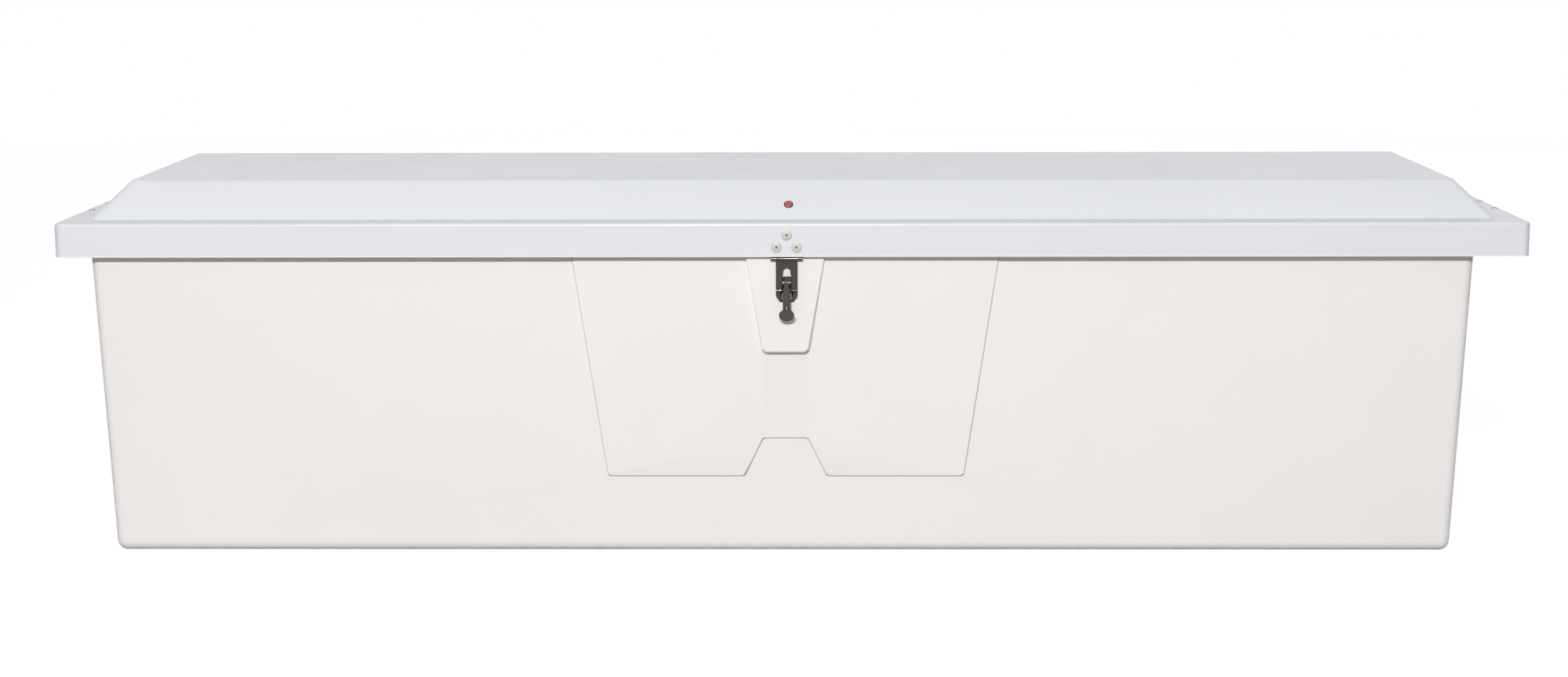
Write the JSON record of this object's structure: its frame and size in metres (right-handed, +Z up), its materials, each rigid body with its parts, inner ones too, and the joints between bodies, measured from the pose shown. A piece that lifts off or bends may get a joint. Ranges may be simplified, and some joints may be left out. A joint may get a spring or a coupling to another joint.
{
  "type": "dock box",
  "caption": "Long low white moulded storage box with a drafted tub, raised front panel, hipped lid on a rear hinge, gas struts and a stainless strap latch with a cam lever.",
  "frame": {"origin": "centre of the tub's flat base, on the ground", "axes": "+X to the right along the box's length as seen from the front, +Y to the back (hinge side), +Z up"},
  "size_m": [2.286, 0.6819, 0.588],
  "materials": {
    "white_gelcoat": "smooth moulded gelcoat, soft gloss",
    "stainless_steel": "polished stainless steel",
    "black_rubber": "matt",
    "red_badge": "glossy, plain, with a dark rim",
    "black_tube": "satin black",
    "chrome_rod": "polished",
    "black_end": "satin"
  },
  "bodies": {
    "tub": {"tub_shell": "white_gelcoat", "rim_strips": "black_rubber", "hinge_tub_leaf": "stainless_steel", "hinge_pin": "stainless_steel", "tub_hinge_rivets": "stainless_steel", "latch_keeper": "stainless_steel", "keeper_bolts": "stainless_steel", "keeper_nuts": "stainless_steel", "lever_pin": "stainless_steel", "strut_foot_bracket_left": "stainless_steel", "strut_foot_bracket_right": "stainless_steel", "strut_foot_rivets": "stainless_steel"},
    "lid": {"lid_shell": "white_gelcoat", "lid_badge": "red_badge", "hinge_lid_leaf": "stainless_steel", "lid_hinge_rivets": "stainless_steel", "latch_hinge_leaf": "stainless_steel", "latch_hinge_pin": "stainless_steel", "latch_rivets": "stainless_steel", "strut_head_bracket_left": "stainless_steel", "strut_head_bracket_right": "stainless_steel", "strut_head_rivets": "stainless_steel"},
    "strap": {"latch_strap": "stainless_steel"},
    "lever": {"latch_lever": "stainless_steel"},
    "strut_rod_left_body": {"strut_rod_left": "chrome_rod", "strut_foot_eye_left": "black_end"},
    "strut_tube_left_body": {"strut_tube_left": "black_tube", "strut_head_eye_left": "black_end"},
    "strut_rod_right_body": {"strut_rod_right": "chrome_rod", "strut_foot_eye_right": "black_end"},
    "strut_tube_right_body": {"strut_tube_right": "black_tube", "strut_head_eye_right": "black_end"}
  },
  "joints": [
    {"name": "lid_hinge", "type": "hinge", "parent": "tub", "child": "lid", "pos_m": [0, 0.32059, 0.4725], "axis": [-1, 0, 0], "range_deg": [0, 78]},
    {"name": "strap_swing", "type": "hinge", "parent": "lid", "child": "strap", "pos_m": [0, -0.32499, 0.4735], "axis": [-1, 0, 0], "range_deg": [0, 110]},
    {"name": "lever_swing", "type": "hinge", "parent": "tub", "child": "lever", "pos_m": [0, -0.33239, 0.437], "axis": [-1, 0, 0], "range_deg": [0, 90]},
    {"name": "strut_left_pivot", "type": "hinge", "parent": "tub", "child": "strut_rod_left_body", "pos_m": [-1.09803, 0.23999, 0.42], "axis": [-1, 0, 0], "range_deg": [0, 79.09]},
    {"name": "strut_left_slide", "type": "slide", "parent": "strut_rod_left_body", "child": "strut_tube_left_body", "axis": [0, -0.9705, 0.2412], "range_m": [0, 0.121]},
    {"name": "strut_right_pivot", "type": "hinge", "parent": "tub", "child": "strut_rod_right_body", "pos_m": [1.09803, 0.23999, 0.42], "axis": [-1, 0, 0], "range_deg": [0, 79.09]},
    {"name": "strut_right_slide", "type": "slide", "parent": "strut_rod_right_body", "child": "strut_tube_right_body", "axis": [0, -0.9705, 0.2412], "range_m": [0, 0.121]}
  ],
  "couplings": [
    {"joint": "strut_left_pivot", "follows": "lid_hinge", "ratio": 1.0133},
    {"joint": "strut_left_slide", "follows": "lid_hinge", "m_per_rad": 0.088776},
    {"joint": "strut_right_pivot", "follows": "lid_hinge", "ratio": 1.0133},
    {"joint": "strut_right_slide", "follows": "lid_hinge", "m_per_rad": 0.088776}
  ]
}
